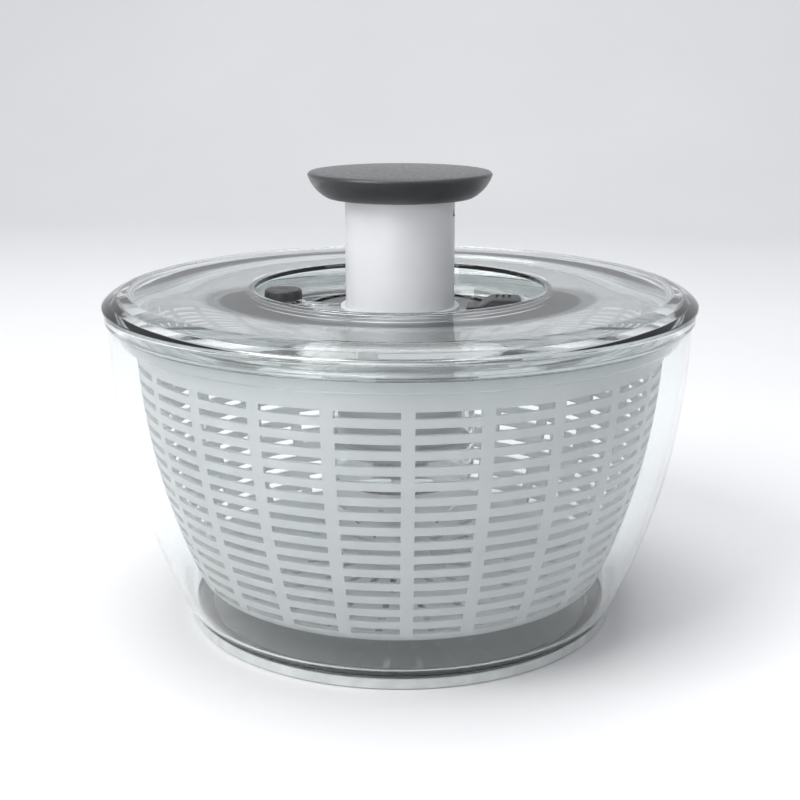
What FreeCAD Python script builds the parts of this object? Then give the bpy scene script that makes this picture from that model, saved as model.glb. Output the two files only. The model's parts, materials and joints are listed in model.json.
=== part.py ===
"""Pump-action salad spinner, about 267 mm across and 205 mm tall with its knob up.

A clear bowl stands on a non-slip ring. A slotted basket turns in it on a captive bearing cup and a steel
pin. The clear lid carries the mechanism: the knob and its column slide down against a spring, a nut in the
column turns a twisted spindle, and a ratchet on the spindle turns a clear disc whose lugs turn the basket.
A brake button presses a rubber pad on that disc, and a slider locks the column down for storage.

Frame: millimetres, +Z up, origin at the centre of the base ring's underside. The brake button is on -X and
the lock slider on +X.
"""

import FreeCAD, Part  # noqa: E401  FreeCAD has to come first

import math
import os

import Sketcher

V = FreeCAD.Vector
doc = FreeCAD.newDocument("salad_spinner")

# Driving dimensions, in millimetres unless the name says degrees, turns or count.
SIZES = {
    # levels above the table
    "deck_top": 152.0,
    "rim_top": 146.0,
    "side_arc_level": 140.0,
    "well_floor_top": 142.2,
    "well_floor_under": 139.0,
    "disc_low_top": 132.0,
    "basket_top": 137.6,
    "basket_under": 19.1,
    "knob_under": 192.4,
    "knob_top": 204.6,
    "housing_seat": 80.0,
    "housing_under": 77.0,
    "cup_under": 62.0,
    "bolt_under": 136.7,
    # bowl
    "bowl_radius": 131.0,
    "bowl_side_arc": 310.0,
    "bowl_wall": 2.6,
    "bowl_foot_degrees": 24.6,
    "bowl_corner": 12.0,
    "foot_radius": 98.0,
    "foot_inner_radius": 90.0,
    "foot_under": 2.0,
    "band_thick": 1.6,
    "band_height": 5.6,
    "boss_radius": 9.0,
    "boss_top": 18.0,
    "pin_radius": 3.0,
    "pin_foot": 10.0,
    "pin_top": 29.0,
    # basket
    "basket_side_arc": 298.6,
    "basket_wall": 1.8,
    "basket_foot_degrees": 22.86,
    "basket_corner": 8.0,
    "basket_band_inner": 117.2,
    "basket_band_outer": 120.3,
    "basket_band_height": 5.2,
    "slot_columns_count": 24.0,
    "slot_rows_count": 16.0,
    "slot_first_row": 123.4,
    "slot_pitch": 6.5,
    "slot_height": 2.9,
    "slot_rib": 5.4,
    "hub_top": 34.6,
    "cup_radius": 7.0,
    "cup_top": 32.5,
    # lid
    "lid_radius": 133.5,
    "shoulder_radius": 122.4,
    "shoulder_arc": 16.5,
    "crest_height": 0.6,
    "deck_thick": 2.2,
    "well_radius": 66.0,
    "well_floor_radius": 65.0,
    "skirt_under": 133.0,
    "skirt_radius": 125.2,
    "skirt_root_radius": 127.5,
    "skirt_thick": 1.8,
    # pump
    "stroke": 48.0,
    "spindle_lead": 24.0,
    "column_radius": 24.7,
    "column_wall": 1.6,
    "column_foot": 129.0,
    "column_top": 195.0,
    "lug_radius": 27.2,
    "lug_height": 4.0,
    "lug_width": 4.4,
    "housing_inner": 25.3,
    "housing_outer": 29.0,
    "housing_flange": 40.0,
    "housing_lip": 31.5,
    "carrier_radius": 12.0,
    "carrier_bore": 10.0,
    "nut_under": 134.4,
    "nut_height": 4.0,
    "strip_width": 9.0,
    "strip_thick": 2.2,
    "strip_play": 0.25,
    "strip_foot": 85.4,
    "strip_top": 140.6,
    "spring_wire": 1.6,
    "spring_radius": 17.6,
    "spring_turns_count": 9.0,
    # knob
    "knob_radius": 41.3,
    "knob_foot_radius": 33.0,
    "knob_side_arc": 17.0,
    "core_radius": 35.0,
    "core_under": 195.0,
    "core_top": 199.4,
    # ratchet
    "ratchet_teeth_count": 12.0,
    "ratchet_radius": 12.0,
    "driver_face": 70.7,
    "driven_face": 66.3,
    "tooth_height": 1.9,
    "tooth_width": 3.4,
    # disc
    "disc_thick": 2.0,
    "disc_radius": 121.2,
    "disc_lip_radius": 116.6,
    "disc_lip_under": 134.2,
    "cup_outer": 34.7,
    "cup_inner": 32.4,
    "drive_lugs_count": 4.0,
    # brake
    "brake_at": 54.0,
    "brake_radius": 8.9,
    "brake_under": 145.0,
    "brake_top": 149.4,
    "stem_radius": 3.5,
    "pad_radius": 7.0,
    "pad_under": 134.6,
    # lock
    "lock_tip": 30.6,
    "lock_tail": 55.0,
    "lock_half_width": 7.0,
    "lock_top": 147.6,
    "bolt_tip": 26.2,
    "bolt_tail": 52.0,
    "bolt_half_width": 4.2,
    "bolt_thick": 2.05,
}

# Screw circles and rows that more than one piece shares.
HOUSING_SCREW_RADIUS = 34.0
HOUSING_SCREW_XY = HOUSING_SCREW_RADIUS * math.sqrt(0.5)
KEEPER_SCREW_X = 50.0
KEEPER_SCREW_Y = 8.3
COLUMN_SCREW_RADIUS = 17.2
RATCHET_SCREW_RADIUS = 9.6


class Dim:
    """A size that carries its value and the spreadsheet expression that gives it."""

    def __init__(self, text, value):
        self.text = text
        self.value = value

    def __add__(self, other):
        other = dim(other)
        return Dim(f"({self.text} + {other.text})", self.value + other.value)

    def __sub__(self, other):
        other = dim(other)
        return Dim(f"({self.text} - {other.text})", self.value - other.value)

    def __mul__(self, other):
        other = dim(other)
        return Dim(f"({self.text} * {other.text})", self.value * other.value)

    def __truediv__(self, other):
        other = dim(other)
        return Dim(f"({self.text} / {other.text})", self.value / other.value)

    def __neg__(self):
        return Dim(f"(0 - {self.text})", -self.value)


def dim(size):
    """The size as a Dim, where a plain number stands for itself."""
    return size if isinstance(size, Dim) else Dim(repr(float(size)), float(size))


def root(size):
    return Dim(f"sqrt({size.text})", math.sqrt(size.value))


def sine(degrees):
    return Dim(f"sin({degrees.text})", math.sin(math.radians(degrees.value)))


def cosine(degrees):
    return Dim(f"cos({degrees.text})", math.cos(math.radians(degrees.value)))


class Sizes:
    """The driving dimensions, written to a spreadsheet, with one Dim for each alias."""

    def __init__(self, values):
        sheet = doc.addObject("Spreadsheet::Sheet", "sizes")
        for row, (alias, value) in enumerate(values.items(), start=1):
            sheet.set(f"A{row}", alias)
            sheet.set(f"B{row}", f"{value:g}")
            sheet.setAlias(f"B{row}", alias)
            setattr(self, alias, Dim(f"sizes.{alias}", value))


d = Sizes(SIZES)
doc.recompute()


# ---------------------------------------------------------------- sketches and features


def new_body(label, several=False):
    body = doc.addObject("PartDesign::Body", label)
    body.AllowCompound = several
    return body


def plane_of(body, role):
    return [f for f in body.Origin.OriginFeatures if f.Role == role][0]


def new_sketch(body, role, level=0.0):
    """A sketch on one of the body's own origin planes, moved along the plane's normal to a level."""
    sketch = body.newObject("Sketcher::SketchObject", f"{body.Name}_sketch")
    sketch.AttachmentSupport = [(plane_of(body, role), "")]
    sketch.MapMode = "FlatFace"
    level = dim(level)
    sketch.AttachmentOffset = FreeCAD.Placement(V(0, 0, level.value), FreeCAD.Rotation())
    sketch.setExpression(".AttachmentOffset.Base.z", level.text)
    return sketch


def arc_between(start, end, radius, side):
    """The minor arc from start to end with its centre on the left (side 1) or right (-1) of the way."""
    chord = end - start
    left = V(-chord.y, chord.x, 0).normalize()
    reach = math.sqrt(max(radius**2 - (chord.Length / 2) ** 2, 0.0))
    centre = (start + end) / 2 + left * (side * reach)
    first, last = (start, end) if side > 0 else (end, start)
    angles = [math.atan2(p.y - centre.y, p.x - centre.x) for p in (first, last)]
    return Part.ArcOfCircle(Part.Circle(centre, V(0, 0, 1), radius), *angles)


def draw_loop(sketch, corners):
    """Draws a closed outline through corners, each (x, y), or (x, y, radius, side) where the stretch that
    ends there is an arc. Every coordinate and radius is bound to its expression."""
    corners = [tuple(dim(c) if i < 3 else c for i, c in enumerate(corner)) for corner in corners]
    points = [V(c[0].value, c[1].value, 0) for c in corners]
    first = sketch.GeometryCount
    ends, rules, bound = [], [], []
    for i, corner in enumerate(corners):
        start, end = points[i - 1], points[i]
        if len(corner) == 4:
            sketch.addGeometry(arc_between(start, end, corner[2].value, corner[3]), False)
            ends.append((1, 2) if corner[3] > 0 else (2, 1))
            rules.append(Sketcher.Constraint("Radius", first + i, corner[2].value))
            bound.append(corner[2].text)
        else:
            sketch.addGeometry(Part.LineSegment(start, end), False)
            ends.append((1, 2))
    count = len(corners)
    for i, corner in enumerate(corners):
        here, after = first + i, first + (i + 1) % count
        tail, head = ends[i][1], ends[(i + 1) % count][0]
        joins = Sketcher.Constraint("Coincident", here, tail, after, head)
        rules.append(joins)
        bound.append(None)
        for axis, kind, along in ((0, "DistanceX", -2), (1, "DistanceY", -1)):
            if corner[axis].text == "0.0":
                rules.append(Sketcher.Constraint("PointOnObject", here, tail, along))
                bound.append(None)
            else:
                size = corner[axis].value
                rules.append(Sketcher.Constraint(kind, -1, 1, here, tail, size))
                bound.append(corner[axis].text)
    place = sketch.ConstraintCount
    sketch.addConstraint(rules)
    for i, text in enumerate(bound):
        if text:
            sketch.setExpression(f"Constraints[{place + i}]", text)


def draw_circle(sketch, x, y, radius):
    x, y, radius = dim(x), dim(y), dim(radius)
    here = sketch.addGeometry(Part.Circle(V(x.value, y.value, 0), V(0, 0, 1), radius.value), False)
    place = sketch.ConstraintCount
    rules = [Sketcher.Constraint("Radius", here, radius.value)]
    texts = [radius.text]
    for kind, size, along in (("DistanceX", x, -2), ("DistanceY", y, -1)):
        if size.text == "0.0":
            rules.append(Sketcher.Constraint("PointOnObject", here, 3, along))
            texts.append(None)
        else:
            rules.append(Sketcher.Constraint(kind, -1, 1, here, 3, size.value))
            texts.append(size.text)
    sketch.addConstraint(rules)
    for i, text in enumerate(texts):
        if text:
            sketch.setExpression(f"Constraints[{place + i}]", text)


def box_loop(x0, x1, y0, y1):
    return [(x0, y0), (x1, y0), (x1, y1), (x0, y1)]


def volume_of(body):
    doc.recompute()
    return body.Shape.Volume


def revolved(label, *loops):
    """A body turned from outlines in the (radius, height) plane."""
    body = new_body(label)
    sketch = new_sketch(body, "XZ_Plane")
    for loop in loops:
        draw_loop(sketch, loop)
    turn = body.newObject("PartDesign::Revolution", f"{label}_turn")
    turn.Profile = sketch
    turn.ReferenceAxis = (sketch, ["V_Axis"])
    turn.Angle = 360.0
    body.Tip = turn
    return body


def extrude(body, kind, sketch, length, up=True, both=False):
    """A Pad or Pocket of a sketch. up says that it goes along the sketch plane's normal."""
    feature = body.newObject(f"PartDesign::{kind}", f"{body.Name}_{kind.lower()}")
    feature.Profile = sketch
    length = dim(length)
    feature.Length = length.value
    feature.setExpression("Length", length.text)
    feature.Reversed = up if kind == "Pocket" else not up
    if both:
        feature.SideType = "Symmetric"
    body.Tip = feature
    return feature


def cut(body, role, loops, length, level=0.0, up=False, circles=(), both=False):
    """A Pocket that has to take something away."""
    before = volume_of(body)
    sketch = new_sketch(body, role, level)
    for loop in loops:
        draw_loop(sketch, loop)
    for circle in circles:
        draw_circle(sketch, *circle)
    feature = extrude(body, "Pocket", sketch, length, up, both)
    if volume_of(body) > before - 1e-3:
        raise RuntimeError(f"{body.Name}: {feature.Name} cuts nothing")
    return feature


def add(body, role, loops, length, level=0.0, up=True, circles=(), both=False):
    """A Pad that has to add something."""
    before = volume_of(body) if body.Tip else 0.0
    sketch = new_sketch(body, role, level)
    for loop in loops:
        draw_loop(sketch, loop)
    for circle in circles:
        draw_circle(sketch, *circle)
    feature = extrude(body, "Pad", sketch, length, up, both)
    if volume_of(body) < before + 1e-3:
        raise RuntimeError(f"{body.Name}: {feature.Name} adds nothing")
    return feature


def around(body, feature, count, span=360.0, whole=False):
    """Repeats a feature evenly about Z, or everything so far where whole is set."""
    count = dim(count)
    pattern = body.newObject("PartDesign::PolarPattern", f"{body.Name}_around")
    if whole:
        pattern.TransformMode = "Whole shape"
    else:
        pattern.Originals = [feature]
    pattern.Axis = (plane_of(body, "Z_Axis"), [""])
    pattern.Angle = span
    pattern.Occurrences = int(round(count.value))
    pattern.setExpression("Occurrences", count.text)
    body.Tip = pattern
    return pattern


def rounded(body, radius, chosen):
    """Fillets the tip's edges that the test picks."""
    doc.recompute()
    tip = body.Tip
    names = [f"Edge{i}" for i, e in enumerate(tip.Shape.Edges, start=1) if chosen(e.BoundBox)]
    fillet = body.newObject("PartDesign::Fillet", f"{body.Name}_fillet")
    fillet.Base = (tip, names)
    radius = dim(radius)
    fillet.Radius = radius.value
    fillet.setExpression("Radius", radius.text)
    body.Tip = fillet
    return fillet


def screws(label, at_radius, count, head_level, tip_level, degrees=0.0, shank=1.2, head=2.5):
    """A ring of countersunk screws whose flat heads are at head_level and whose points are at tip_level."""
    body = new_body(label, several=True)
    sketch = new_sketch(body, "XZ_Plane")
    at_radius, head_level, tip_level = dim(at_radius), dim(head_level), dim(tip_level)
    way = 1.0 if tip_level.value > head_level.value else -1.0
    cone = head - shank
    point = 0.6
    side = [
        (at_radius, head_level),
        (at_radius + head, head_level),
        (at_radius + head, head_level + 0.3 * way),
        (at_radius + shank, head_level + (0.3 + cone) * way),
        (at_radius + shank, tip_level - point * way),
        (at_radius + shank - point, tip_level),
        (at_radius, tip_level),
    ]
    draw_loop(sketch, side)
    axis = Part.LineSegment(V(at_radius.value, 0, 0), V(at_radius.value, 10, 0))
    line = sketch.addGeometry(axis, True)
    place = sketch.ConstraintCount
    sketch.addConstraint(
        [
            Sketcher.Constraint("Vertical", line),
            Sketcher.Constraint("PointOnObject", line, 1, -1),
            Sketcher.Constraint("DistanceX", -1, 1, line, 1, at_radius.value),
            Sketcher.Constraint("DistanceY", line, 1, line, 2, 10.0),
        ]
    )
    sketch.setExpression(f"Constraints[{place + 2}]", at_radius.text)
    turn = body.newObject("PartDesign::Revolution", f"{label}_turn")
    turn.Profile = sketch
    turn.ReferenceAxis = (sketch, ["Axis0"])
    turn.Angle = 360.0
    body.Tip = turn
    if count > 1:
        around(body, turn, count)
    body.Placement = FreeCAD.Placement(V(), FreeCAD.Rotation(V(0, 0, 1), degrees))
    return body


def countersinks(body, at_radius, count, head_level, tip_level, degrees=0.0, shank=1.25, head=2.6):
    """The holes for a ring of such screws: a groove turned about a hole's own axis, then repeated."""
    tool = screws(f"{body.Name}_sink", at_radius, count, head_level, tip_level, degrees, shank, head)
    return tool


def part_cut(label, base, *tools):
    """A Part::Cut of tools from a base, one after another. The last one takes the label."""
    for i, tool in enumerate(tools):
        feature = doc.addObject("Part::Cut", label if i == len(tools) - 1 else f"{label}_step")
        feature.Base = base
        feature.Tool = tool
        base = feature
    return base


def part_fuse(label, *shapes):
    feature = doc.addObject("Part::MultiFuse", label)
    feature.Shapes = list(shapes)
    return feature


def coil(label, radius, wire, foot, top, turns):
    """A round-wire spring: a circle swept along a helix, between two levels."""
    radius, wire, foot, top, turns = dim(radius), dim(wire), dim(foot), dim(top), dim(turns)
    low, span = foot + wire / 2, top - foot - wire
    helix = doc.addObject("Part::Helix", f"{label}_path")
    for name, size in (("Radius", radius), ("Height", span), ("Pitch", span / turns)):
        setattr(helix, name, size.value)
        helix.setExpression(name, size.text)
    helix.Placement = FreeCAD.Placement(V(0, 0, low.value), FreeCAD.Rotation())
    helix.setExpression(".Placement.Base.z", low.text)
    circle = doc.addObject("Part::Circle", f"{label}_wire")
    circle.Radius = wire.value / 2
    circle.setExpression("Radius", (wire / 2).text)
    circle.Placement = FreeCAD.Placement(
        V(radius.value, 0, low.value), FreeCAD.Rotation(V(1, 0, 0), 90)
    )
    circle.setExpression(".Placement.Base.x", radius.text)
    circle.setExpression(".Placement.Base.z", low.text)
    sweep = doc.addObject("Part::Sweep", label)
    sweep.Sections = [circle]
    sweep.Spine = (helix, [])
    sweep.Solid = True
    sweep.Frenet = True
    return sweep


# ---------------------------------------------------------------- bowl

side_centre = d.bowl_radius - d.bowl_side_arc
foot_cos, foot_sin = cosine(d.bowl_foot_degrees), sine(d.bowl_foot_degrees)
bowl_inner_arc = d.bowl_side_arc - d.bowl_wall
corner_centre_r = side_centre + (d.bowl_side_arc - d.bowl_corner) * foot_cos
corner_centre_z = d.side_arc_level - (d.bowl_side_arc - d.bowl_corner) * foot_sin
bowl_inner_corner = d.bowl_corner - d.bowl_wall
bowl_floor_top = corner_centre_z - bowl_inner_corner
bowl_floor_under = bowl_floor_top - d.bowl_wall


def bowl():
    """One clear moulding: curved side, thick rim band, foot ring and a boss for the pivot pin."""
    reach = d.foot_radius - corner_centre_r
    foot_level = corner_centre_z - root(d.bowl_corner * d.bowl_corner - reach * reach)
    band_r = d.bowl_radius + d.band_thick
    inner_top = side_centre + bowl_inner_arc
    side_foot_r = side_centre + d.bowl_side_arc * foot_cos
    side_foot_z = d.side_arc_level - d.bowl_side_arc * foot_sin
    return revolved(
        "bowl",
        [
            (0.0, bowl_floor_under),
            (d.foot_inner_radius, bowl_floor_under),
            (d.foot_inner_radius, d.foot_under),
            (d.foot_radius, d.foot_under),
            (d.foot_radius, foot_level),
            (side_foot_r, side_foot_z, d.bowl_corner, 1),
            (d.bowl_radius, d.side_arc_level, d.bowl_side_arc, 1),
            (band_r, d.rim_top - d.band_height + 0.8),
            (band_r, d.rim_top - 1.2),
            (band_r - 1.2, d.rim_top, 1.2, 1),
            (inner_top + 0.8, d.rim_top),
            (inner_top, d.rim_top - 0.8, 0.8, 1),
            (inner_top, d.side_arc_level),
            (
                side_centre + bowl_inner_arc * foot_cos,
                d.side_arc_level - bowl_inner_arc * foot_sin,
                bowl_inner_arc,
                -1,
            ),
            (corner_centre_r, bowl_floor_top, bowl_inner_corner, -1),
            (d.boss_radius + 1.2, bowl_floor_top),
            (d.boss_radius, bowl_floor_top + 1.2),
            (d.boss_radius - 0.6, d.boss_top),
            (d.pin_radius, d.boss_top),
            (d.pin_radius, d.pin_foot),
            (0.0, d.pin_foot),
        ],
    )


def base_ring():
    """The soft non-slip ring under the foot, with a lip up its outside and a grip bead under it."""
    inner, outer = d.foot_inner_radius - 1.0, d.foot_radius + 1.2
    return revolved(
        "base_ring",
        [
            (inner + 0.8, 0.0),
            (outer - 1.0, 0.0),
            (outer, 1.0, 1.0, 1),
            (outer, 4.2),
            (outer - 0.5, 4.7),
            (d.foot_radius + 0.05, 4.7),
            (d.foot_radius + 0.05, d.foot_under),
            (inner, d.foot_under),
            (inner, 0.8),
        ],
    )


def pivot_pin():
    """The steel pin in the bowl's boss, with a ball end that carries the basket."""
    straight = d.pin_top - d.pin_radius
    return revolved(
        "pivot_pin",
        [
            (0.0, d.pin_foot),
            (d.pin_radius, d.pin_foot),
            (d.pin_radius, straight),
            (0.0, d.pin_top, d.pin_radius, 1),
        ],
    )


# ---------------------------------------------------------------- basket

basket_cos, basket_sin = cosine(d.basket_foot_degrees), sine(d.basket_foot_degrees)
basket_inner_arc = d.basket_side_arc - d.basket_wall
basket_corner_r = side_centre + (d.basket_side_arc - d.basket_corner) * basket_cos
basket_floor_top = d.basket_under + d.basket_wall


def side_radius(arc, level):
    """The radius of a side arc at a height."""
    drop = d.side_arc_level - level
    return side_centre + root(arc * arc - drop * drop)


def pivot_cup():
    """The captive bearing cup in the basket's hub. It stands still on the pin while the basket turns."""
    bore = d.pin_radius + 0.1
    return revolved(
        "pivot_cup",
        [
            (0.0, d.pin_top + 0.1),
            (bore, d.pin_top - d.pin_radius, bore, -1),
            (bore, 20.6),
            (bore + 0.5, 20.1),
            (d.cup_radius, 20.1),
            (d.cup_radius, d.cup_top - 0.6),
            (d.cup_radius - 0.6, d.cup_top),
            (0.0, d.cup_top),
        ],
    )


def basket():
    """The slotted basket: a thin curved wall with a thick rim band, a slotted floor and a closed hub."""
    band_foot = d.basket_top - d.basket_band_height
    under_r = side_centre + d.basket_side_arc * basket_cos
    under_z = d.side_arc_level - d.basket_side_arc * basket_sin
    inner_z = d.side_arc_level - basket_inner_arc * basket_sin
    body = revolved(
        "basket",
        [
            (0.0, d.cup_top + 0.1),
            (d.cup_radius + 0.06, d.cup_top + 0.1),
            (d.cup_radius + 0.06, 20.0),
            (6.3, 20.0),
            (6.3, d.basket_under),
            (basket_corner_r, d.basket_under),
            (under_r, under_z, d.basket_corner, 1),
            (side_radius(d.basket_side_arc, band_foot), band_foot, d.basket_side_arc, 1),
            (d.basket_band_outer, band_foot + 0.8),
            (d.basket_band_outer, d.basket_top - 0.7),
            (d.basket_band_outer - 0.7, d.basket_top, 0.7, 1),
            (d.basket_band_inner + 0.7, d.basket_top),
            (d.basket_band_inner, d.basket_top - 0.7, 0.7, 1),
            (d.basket_band_inner, band_foot),
            (side_radius(basket_inner_arc, band_foot - 1.0), band_foot - 1.0),
            (side_centre + basket_inner_arc * basket_cos, inner_z, basket_inner_arc, -1),
            (basket_corner_r, basket_floor_top, d.basket_corner - d.basket_wall, -1),
            (15.0, basket_floor_top),
            (10.8, d.hub_top - 1.6),
            (9.2, d.hub_top),
            (0.0, d.hub_top),
        ],
    )
    column_degrees = 360.0 / SIZES["slot_columns_count"]
    body.Tip.Angle = column_degrees
    body.Tip.Midplane = True
    half_column = dim(180.0) / d.slot_columns_count
    rows = []
    for row in range(int(SIZES["slot_rows_count"])):
        middle = d.slot_first_row - d.slot_pitch * row
        half = side_radius(d.basket_side_arc, middle) * sine(half_column) - d.slot_rib / 2
        rows.append(box_loop(-half, half, middle - d.slot_height / 2, middle + d.slot_height / 2))
    cut(body, "YZ_Plane", rows, d.basket_band_outer - 55.0, level=60.0, up=True)
    floor_rings = [(24.0, 44.0, 3.0), (50.0, 66.0, 3.0), (71.0, 86.0, 3.0)]
    floor_slots = [box_loop(a, b, -w / 2, w / 2) for a, b, w in floor_rings]
    floor_cut = cut(body, "XY_Plane", floor_slots, 3.0, level=d.basket_under - 0.5, up=True)
    per_quarter = d.slot_columns_count / d.drive_lugs_count
    quarter = around(body, floor_cut, per_quarter, span=90.0 - column_degrees, whole=True)
    quarter.Refine = False
    notch = box_loop(d.basket_band_inner - 1.0, d.basket_band_outer - 1.1, -4.0, 4.0)
    notches = cut(body, "XY_Plane", [notch], 3.9, level=d.basket_top, up=False)
    around(body, notches, d.drive_lugs_count, whole=True)
    return body


# ---------------------------------------------------------------- lid, fixed parts


def lid_shell():
    """The clear cover: a rounded shoulder, a flat deck, a sunk well and a skirt that enters the bowl."""
    crest = d.deck_top + d.crest_height
    deck_under = d.deck_top - d.deck_thick
    seat = d.rim_top + 0.05
    inner_root = d.skirt_root_radius - d.skirt_thick
    body = revolved(
        "lid_shell",
        [
            (d.housing_inner, d.well_floor_under),
            (d.well_floor_radius + 1.0, d.well_floor_under),
            (d.well_floor_radius + 2.6, d.well_floor_under + 1.6, 1.6, 1),
            (d.well_radius + 2.4, deck_under),
            (inner_root - 5.0, deck_under),
            (inner_root, seat + 1.4),
            (d.skirt_radius - d.skirt_thick, d.skirt_under),
            (d.skirt_radius, d.skirt_under),
            (d.skirt_root_radius, seat),
            (d.lid_radius, seat),
            (d.lid_radius, seat + 1.3),
            (d.shoulder_radius, crest, d.shoulder_arc, 1),
            (d.shoulder_radius - 0.8, crest),
            (d.shoulder_radius - 0.8, d.deck_top),
            (d.well_radius + 2.6, d.deck_top),
            (d.well_radius + 2.2, d.deck_top + 0.5),
            (d.well_radius + 0.4, d.deck_top + 0.5),
            (d.well_radius, d.deck_top + 0.1),
            (d.well_floor_radius, d.well_floor_top + 0.8),
            (d.well_floor_radius - 0.8, d.well_floor_top, 0.8, -1),
            (26.1, d.well_floor_top),
            (26.1, d.well_floor_top - 1.8),
            (d.housing_inner, d.well_floor_top - 1.8),
        ],
    )
    collar = [(-d.brake_at, 0.0, d.brake_radius + wider) for wider in (1.2, 0.5)]
    add(body, "XY_Plane", [], 1.8, level=d.well_floor_top - 0.2, circles=collar)
    cut(
        body,
        "XY_Plane",
        [],
        6.0,
        level=d.well_floor_top + 0.5,
        circles=[(-d.brake_at, 0.0, d.stem_radius + 0.3)],
    )
    neck_slot = box_loop(35.6, 48.4, -2.9, 2.9)
    cut(body, "XY_Plane", [neck_slot], 6.0, level=d.well_floor_top + 0.5)
    cut(
        body,
        "XY_Plane",
        [],
        2.2,
        level=d.well_floor_under,
        up=True,
        circles=[(KEEPER_SCREW_X, side * KEEPER_SCREW_Y, 1.25) for side in (-1, 1)]
        + [(s * HOUSING_SCREW_XY, t * HOUSING_SCREW_XY, 1.25) for s in (-1, 1) for t in (-1, 1)],
    )
    return body


def guide_ring():
    """The white ring that lines the lid's hole and wipes the column."""
    bore = d.column_radius + 0.15
    return revolved(
        "guide_ring",
        [
            (bore, d.well_floor_top - 1.7),
            (26.05, d.well_floor_top - 1.7),
            (26.05, d.well_floor_top + 0.05),
            (27.1, d.well_floor_top + 0.05),
            (27.1, d.well_floor_top + 0.6),
            (26.3, d.well_floor_top + 1.4, 0.8, 1),
            (bore, d.well_floor_top + 1.4),
        ],
    )


def pump_housing():
    """The fixed tube that guides the column and carries the spring, with the lip that the disc hangs on."""
    flange_under = d.well_floor_under - 2.6
    body = revolved(
        "pump_housing",
        [
            (d.housing_inner, d.housing_seat),
            (8.2, d.housing_seat),
            (6.6, d.housing_seat),
            (6.6, d.housing_under),
            (d.housing_lip, d.housing_under),
            (d.housing_lip, d.housing_seat),
            (d.housing_outer, d.housing_seat),
            (d.housing_outer, flange_under - 2.0),
            (d.housing_outer + 2.0, flange_under, 2.0, -1),
            (d.housing_flange, flange_under),
            (d.housing_flange, d.well_floor_under - 0.02),
            (d.housing_inner, d.well_floor_under - 0.02),
        ],
    )
    groove_top = d.column_foot + d.lug_height + 0.05
    groove = box_loop(-(d.lug_radius + 0.4), dim(-20.0), -(d.lug_width / 2 + 0.3), d.lug_width / 2 + 0.3)
    grooves = cut(body, "XY_Plane", [groove], groove_top - d.housing_seat, level=groove_top)
    around(body, grooves, 3)
    channel = box_loop(20.0, d.housing_flange + 1.0, -(d.bolt_half_width + 0.3), d.bolt_half_width + 0.3)
    cut(body, "XY_Plane", [channel], 2.6, level=d.well_floor_under)
    sinks = countersinks(
        body, HOUSING_SCREW_RADIUS, 4, flange_under - 0.01, d.well_floor_under + 3.0, degrees=45.0
    )
    return labelled(part_cut("pump_housing_drilled", body, sinks), "pump_housing")


def labelled(feature, label):
    """Moves a label from the source body to the finished feature."""
    for other in doc.Objects:
        if other.Label == label and other is not feature:
            other.Label = f"{label}_blank"
    feature.Label = label
    return feature


def spindle_bush():
    """The flanged bearing in the housing's floor."""
    return revolved(
        "spindle_bush",
        [
            (4.05, d.housing_under - 0.4),
            (6.55, d.housing_under - 0.4),
            (6.55, d.housing_seat + 0.02),
            (8.0, d.housing_seat + 0.02),
            (8.0, d.housing_seat + 1.0),
            (4.05, d.housing_seat + 1.0),
        ],
    )


def lock_keeper():
    """The plate under the lid's floor that carries the lock bolt between two rails."""
    plate_under = d.bolt_under - 2.1
    plate_top = d.bolt_under - 0.35
    body = new_body("lock_keeper")
    add(body, "XY_Plane", [box_loop(32.0, 57.0, -10.5, 10.5)], plate_top - plate_under, level=plate_under)
    rail_in = d.bolt_half_width + 0.3
    rails = [box_loop(41.0, 57.0, rail_in, 10.5), box_loop(41.0, 57.0, -10.5, -rail_in)]
    rails.append(box_loop(54.0, 57.0, -rail_in, rail_in))
    for rail in rails:
        add(body, "XY_Plane", [rail], d.well_floor_under - plate_top + 0.08, level=plate_top - 0.1)
    for side in (-1, 1):
        cut(
            body,
            "XY_Plane",
            [],
            8.0,
            level=plate_under - 1.0,
            up=True,
            circles=[(KEEPER_SCREW_X, side * KEEPER_SCREW_Y, 1.3)],
        )
    rounded(body, 1.5, lambda box: box.ZLength > 1.0 and box.XMin > 56.0 and box.XLength < 0.01)
    return body


# ---------------------------------------------------------------- pump, moving parts


def knob_cap():
    """The soft dark cover of the knob: flat crown, sides that curve in, and a hole for the column."""
    shoulder = d.knob_top - 2.4
    core_gap = 0.02
    crown_edge = d.knob_radius - 1.3
    crown_height = dim(1.0)
    crown_arc = (crown_edge * crown_edge + crown_height * crown_height) / (crown_height * 2.0)
    return revolved(
        "knob_cap",
        [
            (d.column_radius + 0.1, d.knob_under),
            (d.knob_foot_radius, d.knob_under),
            (d.knob_radius, shoulder, d.knob_side_arc, 1),
            (crown_edge, d.knob_top - crown_height, 1.5, 1),
            (0.0, d.knob_top, crown_arc, 1),
            (0.0, d.core_top + core_gap),
            (d.core_radius + core_gap, d.core_top + core_gap),
            (d.core_radius + core_gap, d.core_under),
            (d.column_radius + 0.1, d.core_under),
        ],
    )


def knob_core():
    """The hard disc inside the knob that the column is screwed to."""
    return revolved(
        "knob_core",
        [
            (0.0, d.core_under + 0.02),
            (d.core_radius, d.core_under + 0.02),
            (d.core_radius, d.core_top - 0.8),
            (d.core_radius - 0.8, d.core_top),
            (0.0, d.core_top),
        ],
    )


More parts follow.
